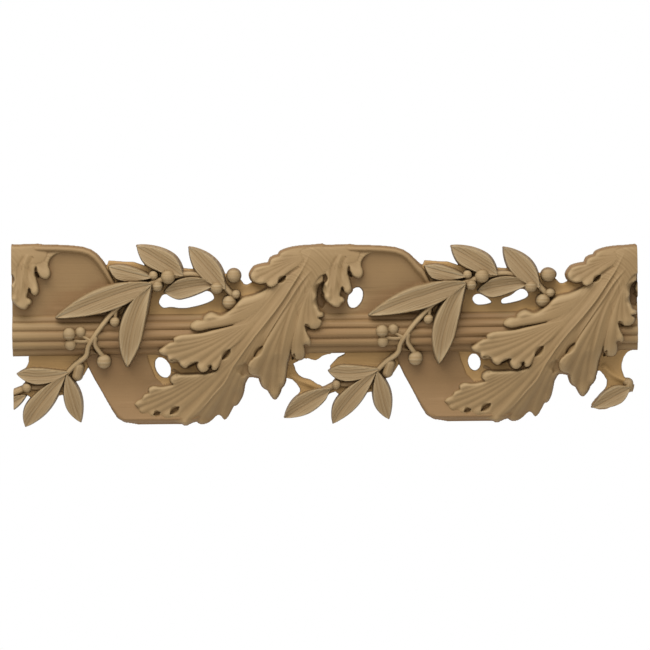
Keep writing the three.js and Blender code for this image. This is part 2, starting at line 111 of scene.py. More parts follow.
# Laurel leaves: base [u, v, w], bend [u, v], tip [u, v, w], half-width and where it is widest on the left
# of the line from base to tip, the same on its right, and how far the edges stand above the middle
LEAVES = [
    [(170, 60, 19), (151, 74), (125.5, 88, 13), (11.5, 0.66), (10.5, 0.4), 1.2],
    [(212, 47, 20), (196, 67), (177.5, 86.5, 12), (11, 0.5), (10.2, 0.48), 1.2],
    [(138, 58, 22), (118, 63), (97, 68, 16), (10, 0.7), (4.5, 0.6), 0.8],
    [(138, 51, 25), (108, 45.5), (44.5, 18.5, 22), (13.5, 0.52), (9.5, 0.6), 1.4],
    [(138, 49, 25), (116, 16), (114.5, -30.5, 24), (11.5, 0.62), (11.5, 0.56), 1.4],
    [(203, 51, 17), (178, 49.5), (152.5, 42.5, 15), (10, 0.72), (9.5, 0.58), 2.4],
    [(54, -37, 15), (30, -43), (4, -38.5, 10), (7.8, 0.6), (8, 0.68), 1],
    [(51, -41, 15), (24, -68), (11.5, -91, 9), (10, 0.5), (10.5, 0.64), 1.2],
    [(54, -40, 15), (58, -62), (66.5, -87, 9), (8.2, 0.5), (8.4, 0.62), 1],
    [(317, -57, 13), (296, -68), (271, -84.5, 10), (9, 0.55), (10.5, 0.6), 2.2],
]

# Berries: u, v, radius and the height of the centre
BERRIES = [
    (57, 2, 6.3, 20), (68, 4, 5.2, 19.5), (58, -8.5, 5.6, 18.5), (91, -26, 7, 15), (102.5, 14, 4.9, 21),
    (13.5, -52, 4.8, 9), (141.5, 59.5, 4.3, 19), (156, 58, 7, 18), (145, 49, 5.4, 19),
    (204.5, 47, 6.2, 18), (221.5, 58.4, 6.9, 13), (217, 32, 7, 16), (223.5, 40, 4.2, 18),
]

# Stems, and a bud as a short thick one: half-width and the points (u, v, w) that they pass
STEMS = [
    [2.2, [(53, -39, 14), (62, -29.5, 16), (73, -20.5, 19), (75.5, -11, 22), (80, -3, 24), (92, 13, 24),
           (104, 26.5, 24), (120, 40, 24), (138, 51, 25)]],
    [2, [(83, -2, 24), (83, -10, 22), (91, -22, 18)]],
    [1.7, [(80, -4, 23), (72, -5.5, 22), (62, -5, 21)]],
    [1.5, [(77, -4, 23), (66, 2, 21)]],
    [1.7, [(104, 27, 23), (102.5, 15, 22)]],
    [2, [(68, -24, 16), (65.5, -31, 14)]],
    [4.9, [(65.8, -31.5, 16.5), (63.6, -40.5, 15)]],
    [2.4, [(140, 52, 22), (160, 58, 19), (178, 60.5, 18), (195, 58, 18), (208, 53, 19), (214, 46, 19),
           (221, 38, 18)]],
    [2.8, [(13, -52, 9), (26, -52, 10), (38, -49.5, 12), (51, -41, 14)]],
    [1.9, [(159, -47.5, 8), (166, -43.5, 9.5), (174, -42, 9)]],
    [1.6, [(160, -36, 8), (167, -38.5, 9.5), (173, -37, 9)]],
    [3, [(308, -59, 12), (318, -55, 11), (328, -51, 9)]],
]

# The middle rib of the acanthus from top to bottom, then, at heights v, the height w of its crest and how
# steeply the sheet falls away on its right
RIB = [(299, 84), (290, 66), (279, 48.5), (269, 33), (260, 21), (250, 8.5), (241, -2.5), (231, -16),
       (221, -30.5), (211, -48), (201, -59.5), (193, -69), (185, -77), (174, -85)]
CREST = [(-92, 11), (-84, 14.5), (-60, 20), (-40, 25), (-20, 28.5), (0, 30), (20, 29), (50, 26), (75, 22),
         (84, 19), (90, 17)]
RIGHT_SLOPE = [(-95, 0.4), (-60, 0.38), (-35, 0.26), (-10, 0.13), (30, 0.13), (95, 0.13)]

# The acanthus: outlines of its sheet and of the lobes that lie on it, the point that each one's flutes run
# from, the way they leave it, how far its tips stand up, its rolled rim, and the tips as (u, v, half-width)
LOBES = [
    [[(346, 88), (318, 88), (300, 88), (286, 84), (272, 72), (262, 52), (248, 36), (228, 18), (212, 0),
      (206, -20), (205, -34), (196, -38.5), (185, -39.5), (175, -40), (168, -40), (163, -39.4),
      (158.3, -42.5), (157.5, -46.5), (160, -49.5), (154, -51.5), (147, -52.5), (140, -51.5),
      (135.5, -54), (135.5, -58), (131, -60), (128.5, -64), (124, -66), (121, -69.5), (124, -73),
      (125.5, -76.5), (131, -81), (138, -82.5), (150, -84), (160, -87), (168, -89), (171.7, -90.8),
      (175, -89.4), (179, -87.8), (183.3, -87.3), (185, -89), (188.3, -90), (193.3, -89.2),
      (198.3, -85.9), (201.7, -82.5), (204.6, -81.2), (207.5, -82.5), (210.4, -86.3), (213.3, -84.2),
      (215.8, -80), (218.3, -75), (220, -72.5), (223.3, -71.2), (226.7, -66), (229.2, -60),
      (230, -52.5), (231.5, -47.5), (236, -42), (250, -44), (266, -40), (272, -20), (282, 5),
      (294, 28), (299, 42), (306, 56), (314, 61), (330, 66), (346, 74)],
     (276, 44), (-0.58, -0.81), 2.5, 2.4,
     [(125, -69.5, 4), (128, -76, 4), (136, -56.5, 4.4), (130, -63, 3.6), (139, -79, 4.4), (153, -80, 4),
      (162, -45, 4.6), (172, -88, 3), (189, -87, 4.4), (210, -82.5, 4.4), (222, -68, 4.6),
      (228, -54, 4.6), (231, -44, 4)]],
    [[(262, 50), (250, 43), (240, 38.5), (230, 36), (222, 28), (215, 22), (208, 18.8), (200, 21.5),
      (195.5, 20.5), (191.5, 17.5), (190, 14.5), (184, 14.3), (178.7, 11), (178, 7.5), (181.5, 5),
      (188, 4.2), (196, 6), (215, 9), (235, 15), (255, 30), (268, 44)],
     (276, 52), (-0.78, -0.62), 1, 3.6, [(184.5, 9, 5), (196, 17.5, 3.8), (226, 29, 4)]],
    [[(262, 36), (240, 16), (220, 9.5), (200, 4.5), (190, 2), (178, 0.8), (168, 0), (161.5, -3),
      (161.3, -6.5), (157.5, -7.5), (153.5, -10), (149.8, -12.8), (146.5, -16), (150, -19.2),
      (154.5, -20.6), (155.5, -24), (158.5, -26.6), (162.5, -26.2), (166, -26.6), (168, -30),
      (172, -32.5), (177, -30.2), (184, -27), (184.5, -31.5), (187.5, -36), (191.5, -36.6),
      (195.3, -34), (197.5, -30), (199.5, -34.5), (203.5, -34), (206.5, -29.6), (208.5, -24.6),
      (213, -19), (218, -13.6), (232, -4), (250, 16)],
     (272, 40), (-0.76, -0.65), 2.5, 2.4,
     [(165, -4, 4), (156, -10.5, 3.4), (150.5, -16, 3.2), (157, -23, 3.4), (171, -29, 3.6),
      (189.5, -32.5, 4.4), (202, -31, 4)]],
    [[(312, 88.4), (300, 88.2), (290, 87.5), (281, 86.2), (274.4, 84.4), (268.9, 81.8),
      (266.7, 78.5), (262.2, 77), (258.9, 74.8), (257.8, 71.5), (256.7, 69.8), (250, 68.6),
      (243.3, 66.5), (240.6, 63.6), (238.7, 59.5), (240, 55), (243.5, 52.5), (248, 51.4),
      (253.5, 52), (255.5, 49.4), (259, 48), (263.5, 50), (267.5, 54), (272.5, 59.5),
      (283, 66.5), (295, 74)],
     (312, 86), (-0.95, -0.32), 2, 2.2,
     [(272, 80.5, 5), (263, 74, 5), (246, 66, 5), (242, 59, 4.6), (249, 54.5, 4), (260, 51.5, 4.4)]],
    [[(292, 48), (277, 32), (264, 12), (254, -4), (250, -11.5), (245, -16.5), (240.5, -23.5),
      (236.5, -27.5), (234.8, -32.5), (236, -38), (240, -40.4), (245.5, -42.4), (247, -45.4),
      (248.2, -50), (250.5, -53.8), (253.9, -56), (256, -58.8), (258.3, -62.8), (261.3, -65.8),
      (264.2, -62.5), (266, -59), (266.9, -55.6), (269.4, -52.3), (270.8, -49), (271.3, -45.5),
      (272.5, -39), (273.5, -30), (276, -21), (279, -9), (284, 6), (292, 26), (299, 41)],
     (296, 60), (-0.5, -0.87), 4, 2.4,
     [(241.5, -34.5, 6), (251, -50, 4), (261, -60, 4.6), (268, -48.5, 4), (264, -20, 4)]],
    [[(301, 56), (289, 30), (282, 6), (278.3, -9), (277.8, -18), (279.7, -23), (284, -25.6),
      (288.5, -25.3), (291, -21.5), (291.3, -16), (290.6, -11.5), (293, -10.2), (296, -11.5),
      (297.6, -8), (295.3, -2.5), (292.7, 3.5), (292, 8.8), (295, 7), (299, 5.4), (303.5, 5.5),
      (307.5, 8.5), (308.5, 13), (305.5, 16), (307, 17), (310, 17.6), (309.7, 20.6), (306.5, 22.6),
      (304, 29.5), (303.5, 37.5), (305.5, 45.5), (310, 52), (310, 60)],
     (304, 74), (-0.3, -0.95), 1, 2.2,
     [(285, -20, 5.6), (294.5, -7, 3.4), (301.5, 11, 5.6), (306.5, 19, 3), (300, 40, 6)]],
    [[(302, 80), (307, 68), (314, 59.5), (315, 54.5), (311.5, 49.5), (309.7, 44), (312, 40),
      (312.7, 35.5), (317, 31), (321.5, 27.8), (326, 27.6), (328.5, 31), (331.2, 33), (330.3, 36),
      (327, 38.5), (328, 43.5), (329.5, 47), (332, 42.6), (335.5, 40.6), (338.4, 44), (337.7, 50.5),
      (336, 57.5), (335, 64.5), (336.8, 68.5), (338.3, 62.6), (341, 58.4), (345.8, 56.4),
      (349.7, 58.6), (350.3, 63.5), (348.6, 69), (349.6, 74), (352.6, 78), (357.4, 80.8),
      (364, 82), (374, 82.6), (375, 87), (350, 87.4), (330, 87.8), (312, 87.8)],
     (322, 94), (-0.1, -1), 3.5, 2.4,
     [(314, 45, 4.8), (323, 32.5, 5), (334.8, 45.5, 3.8), (345, 61.5, 5), (316, 38, 4)]],
]

# Ridges of the acanthus along and beside its rib, and grooves where the height is below 0: height,
# half-width and the points that they pass
VEINS = [
    [1.4, 1, RIB],
    [-0.9, 1.8, [(292, 64), (282, 49), (272.5, 34), (263, 20.5), (254, 7), (246, -4)]],
    [1.1, 1.1, [(300, 66), (287, 50.5), (277, 35), (268, 21), (260, 8), (253, -4), (249.5, -11)]],
    [-0.7, 2.2, [(283, 63), (268, 44), (252, 22), (238, 4), (226, -10), (219, -20)]],
    [0.6, 1.8, [(298, 58), (286, 38), (277, 16), (271, -6), (266, -30)]],
    [-0.6, 1.8, [(296, 62), (281, 32), (272, 8), (267, -14), (263, -40)]],
    [-1, 1.3, [(288, 68), (281, 63.5), (273, 58)]],
    [0.7, 1.6, [(330, 82), (325, 70), (323, 55), (321, 40)]],
    [-0.7, 1.6, [(326, 80), (319.5, 68), (317, 52), (315, 44)]],
    [-0.7, 1.6, [(336, 82), (330, 70), (328.5, 55), (326, 42)]],
]

# Thin webs between the forms: corners of closed outlines
WEBS = [
    [(96, 12), (92, 60), (97, 73), (110, 72), (122, 71.5), (132, 68), (150, 67), (175, 65), (196, 63),
     (214, 59.5), (227, 55), (231, 49.5), (234, 48.3), (237, 49.5), (241, 52), (262, 52), (266, 12)],
    [(-38, -12), (-36, -27), (-22, -25), (-10, -27.5), (8, -20), (15, -20), (15, -25), (6, -34), (8, -42),
     (20, -46), (40, -45), (58, -44), (65, -45.5), (70, -40), (74, -33), (78, -12)],
    [(126, -12), (130, -30), (140, -50), (165, -62), (215, -50), (232, -36), (238, -12)],
    [(-9, -58), (0, -55.5), (7, -53), (11, -48), (14, -44), (20, -47), (58, -44), (56, -58), (47, -60),
     (36, -62), (17, -62), (13, -59), (6, -61), (-2, -66)],
    [(262, -12), (262, -44), (274, -45), (279, -46.5), (283, -50.5), (286.6, -56), (287, -59), (284, -63),
     (296, -66), (308, -61), (313, -56.5), (307, -54), (296, -45), (283, -38), (279, -31), (290, -25),
     (300, -12)],
]

# The plain ribbon above the rod: its edge, its feet at the rod, its height w by the distance in from the
# edge, its height w where it has no rim, and the stretches of v and of u over which the rim grows
BACK_EDGE = [(-22, 87.8), (20, 87.8), (45, 87.7), (60, 87), (71, 85.7), (78.5, 83.2), (84.5, 79), (90, 72.5),
             (97, 62), (107, 44)]
BACK_FEET = [(104, 12), (-22, 12)]
BACK_PROFILE = [(-6, 14), (0, 14), (1.6, 14.5), (3.2, 14.2), (4.4, 12.8), (5.8, 10.9), (7.6, 10), (12, 9.4),
                (25, 9), (60, 9.5), (120, 9.5)]
BACK_FLOOR = 9
BACK_RIM_V = (26, 56)
BACK_RIM_U = (6, 26)
# The plain ribbon below the rod: its outline and its height w at the rod. Down the stretches of v it rises,
# gets a wider rim, and drops again at its lip, each by a number of steps
APRON = [(68, -12), (73.4, -28), (80.8, -43), (90.8, -60.5), (98.6, -74), (104, -82), (111, -87),
         (124, -89.5), (176, -89.5), (188, -82), (180, -74), (160, -60.5), (142, -43), (136, -28),
         (132, -12)]
APRON_FLOOR = 7.5
APRON_RISE, APRON_RISE_V = 8.5, (50, 84)
APRON_RIM, APRON_RIM_V = 2.6, (62, 82)
APRON_LIP, APRON_LIP_V = 7, (84, 89)

# Piercings of the two carvings that take turns along the run: closed outlines, and ovals as u, v, long
# half-axis, short half-axis and the turn of the long one in degrees
PIERCINGS = [
    {
        "outlines": [
            [(146.4, 31), (148.2, 36.4), (151.5, 39.5), (160, 39.4), (175, 41.4), (188, 43), (197.4, 42),
             (201.4, 36.5), (199.2, 33.2), (190, 29.4), (175, 26), (165, 26), (158, 27), (150.6, 26.2)],
        ],
        "ovals": [(149.5, -33.5, 11, 7.2, -66)],
    },
    {
        "outlines": [
            [(147, 33.6), (149.8, 37.6), (155, 38), (162, 34), (165.6, 30.4), (164, 28.6), (155, 27),
             (149.6, 28.6)],
            [(175.8, 30), (177.4, 33.4), (185, 36.6), (193.4, 43), (199.6, 42.2), (202.4, 37), (199.4, 33.6),
             (191, 30.4), (178.6, 28)],
        ],
        "ovals": [(149.6, -31.2, 8.6, 6.1, -80), (30.6, 35.3, 11.2, 7, 68)],
    },
]

# The piercing before a branch
BRANCH_OPEN = [(281.8, -31), (287, -28.8), (294.4, -25.8), (302, -28.4), (310, -23.2), (320, -21.2),
               (330.5, -20.4), (332.3, -22), (320.4, -28), (313.8, -36.5), (316.6, -43.5), (307, -52.7),
               (297, -47.4), (287.8, -44.4), (282.2, -38)]
# Where the run is cut, its branches are not the same. The first one: its opening and its last leaf
START_OPEN = [(300, -18), (325, -18), (327.2, -24), (326.8, -28), (322.8, -35), (317.6, -40.5), (318.2, -44),
              (321.8, -48), (319.6, -52), (312, -55.3), (300, -60)]
START_LEAF = [(323.5, -59.8, 10), (312, -65.5), (290, -79, 9), (6.4, 0.6), (5.4, 0.6), 1.5]
# The last one is a single leaf: the web under it, the opening beyond it, its short thick stem and the leaf
END_WEB = [(262, -12), (262, -41), (270, -42), (276, -40.5), (280, -45), (283.5, -51), (283, -57),
           (279, -64), (273, -70), (270, -75), (271, -78), (277, -80), (283, -79.4), (289, -76.5), (292, -72),
           (301, -66), (304.4, -62), (306.4, -57), (305.6, -53), (302.5, -52), (299, -48), (296.5, -41),
           (296.5, -34), (298.5, -27), (302.5, -22), (312, -19), (312, -12)]
END_OPEN = [(312, -20), (303, -22.5), (299, -28), (296.8, -36), (297.8, -43), (300.5, -47.5), (304.5, -49),
            (308, -50.4), (309, -54), (308.6, -59), (306.5, -64.5), (303, -70), (330, -100), (335, -60),
            (333, -20)]
END_STEM = [3.8, [(301.6, -53.2, 11), (303.4, -54, 12), (303.2, -59, 12)]]
END_LEAF = [(303.5, -58.4, 12.5), (288, -66.5), (270.4, -77.6, 10), (9.2, 0.42), (8.6, 0.4), 1.6]
# Soft folds of the webs under the branches, as in VEINS: of each branch, and of the last one
FOLDS = [[2.6, 2.8, [(275.5, -41), (280, -43.8), (286, -47.5), (295, -51), (306, -57)]]]
END_FOLDS = [[3.4, 3, [(277, -34.5), (286, -43.5), (296, -49.5), (308, -54)]]]

# Deep cuts of the gouge: from (u, v) to (u, v), half-width and depth
CUTS = [
    [(140.5, -79.8), (146, -77.8), 2, 5.5], [(157, -79), (165, -72.5), 2.2, 7],
    [(196.4, -33.5), (198, -30), 1.8, 3.5], [(209.5, -24), (217, -14.5), 2, 7],
    [(249.5, -12), (241.5, -22), 2, 5], [(266, 52.5), (273, 58.5), 1.8, 8],
    [(175, -31.5), (185, -27), 1.5, 7], [(163, -38.5), (164, -41), 1.3, 2],
    [(147, 58), (148, 60), 1.6, 6], [(58, -34), (60, -44), 1.6, 6],
    [(50, -44), (48, -56), 1.5, 6], [(80, -10), (84, -17), 1.8, 5], [(335.6, 63), (338.8, 57.5), 1.5, 6],
    [(281, -20), (279, -26), 1.6, 5], [(293, 10), (297, 5), 1.4, 4],
    [(329.6, 47.5), (330.4, 43), 1.2, 3], [(158, -24.5), (165, -25.5), 1.3, 3],
    [(310, 51), (306, 38), 4, 11], [(306, 38), (309, 27), 4, 9], [(232, -30), (230, -40), 6, 3],
]


def smooth_max(a, b, k):
    """The higher of two surfaces, with a fillet where they meet."""
    return np.maximum(a, b) + np.maximum(k - np.abs(a - b), 0) ** 2 / (4 * k)


def blurred(values, sigma):
    """About a Gaussian blur, with edges held: three box blurs each way."""
    width_per_sigma = 1.73
    width = max(3, int(round(sigma * width_per_sigma)) | 1)
    pad = width // 2
    out = values
    for axis in (0, 1):
        for _ in range(3):
            spec = [(0, 0), (0, 0)]
            spec[axis] = (pad + 1, pad)
            total = np.cumsum(np.pad(out, spec, mode="edge"), axis=axis)
            ahead = np.take(total, np.arange(width, total.shape[axis]), axis=axis)
            behind = np.take(total, np.arange(0, total.shape[axis] - width), axis=axis)
            out = (ahead - behind) / width
    return out


def spline(points, closed=False, per=6):
    """A smooth line through the points, with some steps from each to the next."""
    p = np.array(points, float)
    n = len(p)
    i = np.arange(n if closed else n - 1)
    a, b, c, d = (p[(i + k) % n] if closed else p[np.clip(i + k, 0, n - 1)] for k in (-1, 0, 1, 2))
    parts = []
    for t in np.arange(per) / per:
        parts.append(0.5 * (2 * b + (c - a) * t + (2 * a - 5 * b + 4 * c - d) * t * t
                            + (3 * b - a - 3 * c + d) * t ** 3))
    line = np.stack(parts, 1).reshape(-1, p.shape[1])
    return line if closed else np.vstack([line, p[-1:]])


def bend(base, through, tip, count=20):
    """A bow from base to tip that a third point draws towards itself."""
    t = np.linspace(0, 1, count)[:, None]
    a, b, c = (np.array(point[:2], float) for point in (base, through, tip))
    return (1 - t) ** 2 * a + 2 * t * (1 - t) * b + t * t * c


class Relief:
    """Height w over the back on a grid of u and v, with the place along and across the grain there and the
    number that KINDS gives the form for its finish."""

    def __init__(self):
        self.u = np.arange(0, RUN + GRID / 2, GRID)
        self.v = np.arange(V_RANGE[0], V_RANGE[1] + GRID / 2, GRID)
        shape = (len(self.v), len(self.u))
        self.w = np.full(shape, OUTSIDE)
        self.along = np.zeros(shape)
        self.across = np.zeros(shape)
        self.leafy = np.zeros(shape)

    def window(self, points, margin):
        """The part of the grid round some points: its slices and its u and v, or None outside the run."""
        low = points.min(0)[:2] - margin
        high = points.max(0)[:2] + margin
        i0, i1 = np.searchsorted(self.u, [low[0], high[0]])
        j0, j1 = np.searchsorted(self.v, [low[1], high[1]])
        if i0 >= i1 or j0 >= j1:
            return None
        return (slice(j0, j1), slice(i0, i1)), *np.meshgrid(self.u[i0:i1], self.v[j0:j1])

    def add(self, kind, part, top, along, across):
        """Lays a form over what is there. Where it stands higher, the grain and the finish are its own."""
        fillet, leafy = KINDS[kind]
        wins = top > self.w[part]
        self.w[part] = smooth_max(self.w[part], top, fillet)
        self.along[part] = np.where(wins, along, self.along[part])
        self.across[part] = np.where(wins, across, self.across[part])
        self.leafy[part] = np.where(wins, leafy, self.leafy[part])


def beside(points, u, v):
    """Each grid point's share along the line, its distance to it, and 1 on its left or -1 on its right."""
    best = np.full(u.shape, 1e9)
    share = np.zeros(u.shape)
    side = np.ones(u.shape)
    count = len(points) - 1
    for i in range(count):
        a = points[i]
        d = points[i + 1] - a
        t = np.clip(((u - a[0]) * d[0] + (v - a[1]) * d[1]) / max(d @ d, 1e-9), 0, 1)
        x = u - a[0] - t * d[0]
        y = v - a[1] - t * d[1]
        q = x * x + y * y
        near = q < best
        best = np.where(near, q, best)
        share = np.where(near, (i + t) / count, share)
        side = np.where(near, np.where(d[0] * y - d[1] * x < 0, -1, 1), side)
    return share, np.sqrt(best), side


def inside(points, u, v):
    """Distance in from a closed outline, negative outside it."""
    best = np.full(u.shape, 1e9)
    within = np.zeros(u.shape, bool)
    for a, b in zip(points, np.roll(points, -1, 0)):
        d = b - a
        t = np.clip(((u - a[0]) * d[0] + (v - a[1]) * d[1]) / max(d @ d, 1e-9), 0, 1)
        best = np.minimum(best, (u - a[0] - t * d[0]) ** 2 + (v - a[1] - t * d[1]) ** 2)
        if a[1] != b[1]:
            crosses = (a[1] > v) != (b[1] > v)
            within ^= crosses & (u < d[0] * (v - a[1]) / d[1] + a[0])
    return np.sqrt(best) * np.where(within, 1, -1)


def walled(top, edge, rim):
    """Rounds the rim of a form and drops its wall outside the edge. edge is the distance in from it."""
    q = np.clip(1 - edge / rim, 0, 1)
    drop = 0.8 * rim
    rounded = top - drop * (1 - np.sqrt(1 - q * q))
    return np.where(edge >= 0, rounded, top - drop + WALL_SLOPE * edge)


def swell(s, widest):
    """Share of the full half-width at the share s of a leaf's length."""
    rise = 0.12 + 0.88 * np.sin(0.5 * np.pi * np.clip(s / widest, 0, 1)) ** 0.9
    fall = np.cos(0.5 * np.pi * np.clip((s - widest) / (1 - widest), 0, 1)) ** 0.8
    return np.where(s < widest, rise, fall)


def add_leaf(relief, leaf, shift, number):
    """A laurel leaf: dished between its edges, finely veined, and grooved along its middle where wide."""
    base, through, tip, left, right, dish = leaf
    line = bend(base, through, tip) + [shift, 0]
    got = relief.window(line, max(left[0], right[0]) + 6)
    if got is None:
        return
    part, u, v = got
    s, dist, side = beside(line, u, v)
    half = np.where(side > 0, left[0] * swell(s, left[1]), right[0] * swell(s, right[1]))
    t = np.clip(dist / np.maximum(half, 0.01), 0, 1)
    middle = base[2] + (tip[2] - base[2]) * s + 1.5 * np.sin(np.pi * s)
    veins = 0.09 * np.sin(dist * 2.6 + 4 * np.sin(5 * s)) * np.clip(half / 6, 0, 1)
    pillow = 0.05 * half * np.sin(np.pi * t)
    rib = (0.2 - 0.5 * np.clip(half / 9, 0, 1)) * np.exp(-(dist / 1.5) ** 2) * (1 - 0.5 * s)
    top = middle + 1.3 * dish * t ** 2.2 + pillow + rib + veins
    length = np.hypot(*(line[-1] - line[0]))
    relief.add("leaf", part, walled(top, half - dist, 0.9), s * length + LEAF_GRAIN * number, dist * side)


def add_berry(relief, berry, shift):
    """A berry: a dome with steep walls."""
    u0, v0, radius, centre = berry
    got = relief.window(np.array([[u0 + shift, v0]]), radius + 4)
    if got is None:
        return
    part, u, v = got
    dist = np.hypot(u - u0 - shift, v - v0)
    dome = centre + np.sqrt(np.maximum(radius ** 2 - dist ** 2, 0))
    top = np.where(dist > radius, centre - 2 * WALL_SLOPE * (dist - radius), dome)
    relief.add("berry", part, top, u, v)


def add_stem(relief, stem, shift):
    """A stem: round across, and as high as the points that it passes."""
    half, points = stem
    line = spline(points) + [shift, 0, 0]
    got = relief.window(line, half + 4)
    if got is None:
        return
    part, u, v = got
    s, dist, side = beside(line[:, :2], u, v)
    crown = np.interp(s, np.linspace(0, 1, len(line)), line[:, 2])
    round_top = crown - half + np.sqrt(np.maximum(half ** 2 - dist ** 2, 0))
    top = np.where(dist > half, crown - half - WALL_SLOPE * (dist - half), round_top)
    relief.add("stem", part, top, s * STEM_GRAIN, dist * side)


def smooth_table(x, pairs):
    """The value at x on a smooth line through pairs of x and value."""
    line = spline(pairs)
    return np.interp(x, line[:, 0], line[:, 1])


def sheet_height(u, v):
    """The long roll of the acanthus: highest along its rib, falling away on both sides."""
    rib = [(rib_v, rib_u) for rib_u, rib_v in RIB[::-1]]
    off = u - smooth_table(v, rib)
    fall_left = 0.1 * smooth_max(-off - 6, 0, 8)
    most_fall = 12
    fall_right = smooth_table(v, RIGHT_SLOPE) * smooth_max(off - 2, 0, 8)
    fall_right = most_fall - smooth_max(most_fall - fall_right, 0, 6)
    return smooth_table(v, CREST) - fall_left - fall_right


def add_lobe(relief, lobe, shift, sunk):
    """A lobe of the acanthus: fluted from its root to its tips, with a rolled edge and swelling tips. Its
    root lies sunk by some steps in the sheet."""
    corners, root, direction, lift, rim, tips = lobe
    outline = spline(corners, True, 3) + [shift, 0]
    got = relief.window(outline, 4)
    if got is None:
        return
    part, u, v = got
    root = np.array(root, float) + [shift, 0]
    heading = np.array(direction, float)
    edge = inside(outline, u, v)
    far = 60.0
    near = np.full(u.shape, far)
    next_near = np.full(u.shape, far)
    share = np.zeros(u.shape)
    bulge = np.zeros(u.shape)
    for tip_u, tip_v, half in tips:
        tip = np.array([tip_u + shift, tip_v])
        reach = np.hypot(*(tip - root))
        s, dist, _ = beside(bend(root, root + heading * reach * 0.55, tip, 12), u, v)
        share = np.where(dist < near, s * reach, share)
        next_near = np.minimum(next_near, np.maximum(dist, near))
        near = np.minimum(near, dist)
        bulge = np.maximum(bulge, np.exp(-((u - tip[0]) ** 2 + (v - tip[1]) ** 2) / half ** 2))
    gap = near + next_near
    flutes = np.minimum(0.06 * gap, 0.95) * np.cos(2 * np.pi * near / np.maximum(gap, 0.1))
    size = np.hypot(*(outline - root).max(0) - (outline - root).min(0)) / 1.5
    from_root = np.hypot(u - root[0], v - root[1]) / size
    rise = lift * np.clip(from_root, 0, 1.2) ** 2 - sunk * np.exp(-(from_root / 0.5) ** 2)
    top = sheet_height(u - shift, v) + rise + flutes + 0.9 * bulge
    relief.add("lobe", part, walled(top, edge, rim), share, near)


def add_vein(relief, vein, shift, above):
    """A soft ridge or groove on all that stands above a height."""
    height, half, points = vein
    line = spline(points) + [shift, 0]
    got = relief.window(line, half * 4)
    if got is None:
        return
    part, u, v = got
    s, dist, _ = beside(line, u, v)
    fade = np.clip(8 * s, 0, 1) * np.clip(5 * (1 - s), 0, 1)
    relief.w[part] += np.where(relief.w[part] > above, height * fade * np.exp(-(dist / half) ** 2), 0)


def add_rod(relief):
    """Reeds side by side round a circle, running the whole length."""
    u, v = np.meshgrid(relief.u, relief.v)
    for k in range(-2, 3):
        centre_v = REED_CIRCLE * math.sin(REED_PITCH * k)
        centre_w = REED_FRONT - REED_RADIUS - REED_CIRCLE * (1 - math.cos(REED_PITCH * k))
        dist = np.abs(v - centre_v)
        dome = centre_w + np.sqrt(np.maximum(REED_RADIUS ** 2 - dist ** 2, 0))
        top = np.where(dist > REED_RADIUS, centre_w - WALL_SLOPE * (dist - REED_RADIUS), dome)
        relief.add("rod", (slice(None), slice(None)), top, u, v)


def at_ends(shift, between, start, end):
    """What stands in a carving: something else where it is cut at the start or at the end of the run."""
    return {-REPEAT: start, (REPEATS - 1) * REPEAT: end}.get(shift, between)


def grown(x, low, high):
    """0 below low, 1 above high and even between them."""
    return np.clip((x - low) / (high - low), 0, 1)


def eased(share):
    """A share from 0 to 1 with a soft start and a soft end."""
    return share ** 2 * (3 - 2 * share)


def back_top(u, v, edge):
    """The concave back of the ribbon: a floor with a rim that grows upwards and to the right."""
    crown = BACK_FLOOR + (smooth_table(edge, BACK_PROFILE) - BACK_FLOOR) * grown(u, *BACK_RIM_U)
    return BACK_FLOOR + (crown - BACK_FLOOR) * eased(grown(v, *BACK_RIM_V))


def apron_top(v):
    """The ribbon below the rod: it rises downwards and turns over at its lip."""
    rise = grown(-v, *APRON_RISE_V) ** 1.6
    lip = grown(-v, *APRON_LIP_V) ** 1.5
    return APRON_FLOOR + APRON_RISE * rise - APRON_LIP * lip


def add_ground(relief, shift):
    """The thin webs and the plain ribbon."""
    webs = WEBS[:-1] + [at_ends(shift, WEBS[-1], WEBS[-1], END_WEB)]
    plates = [("web", corners) for corners in webs] + [("back", BACK_EDGE + BACK_FEET), ("apron", APRON)]
    for kind, corners in plates:
        outline = np.array(corners, float) + [shift, 0]
        got = relief.window(outline, 5)
        if got is None:
            continue
        part, u, v = got
        edge = inside(outline, u, v)
        rim = PLATE_RIM
        if kind == "web":
            top = np.full(u.shape, WEB)
        elif kind == "back":
            top = back_top(u - shift, v, edge)
        else:
            top = apron_top(v)
            rim = PLATE_RIM + APRON_RIM * eased(grown(-v, *APRON_RIM_V))
        relief.add(kind, part, walled(top, edge, rim), u, v)


def soften(relief):
    """Lets the thin webs swell up softly to the forms that they join."""
    spread = 5 / GRID
    solid = (relief.w > 0).astype(float)
    mean = blurred(np.maximum(relief.w, 0), spread) / np.maximum(blurred(solid, spread), 1e-3)
    swollen = smooth_max(relief.w, 0.74 * mean, 2)
    relief.w = np.where(relief.w > 0.5, swollen, relief.w)


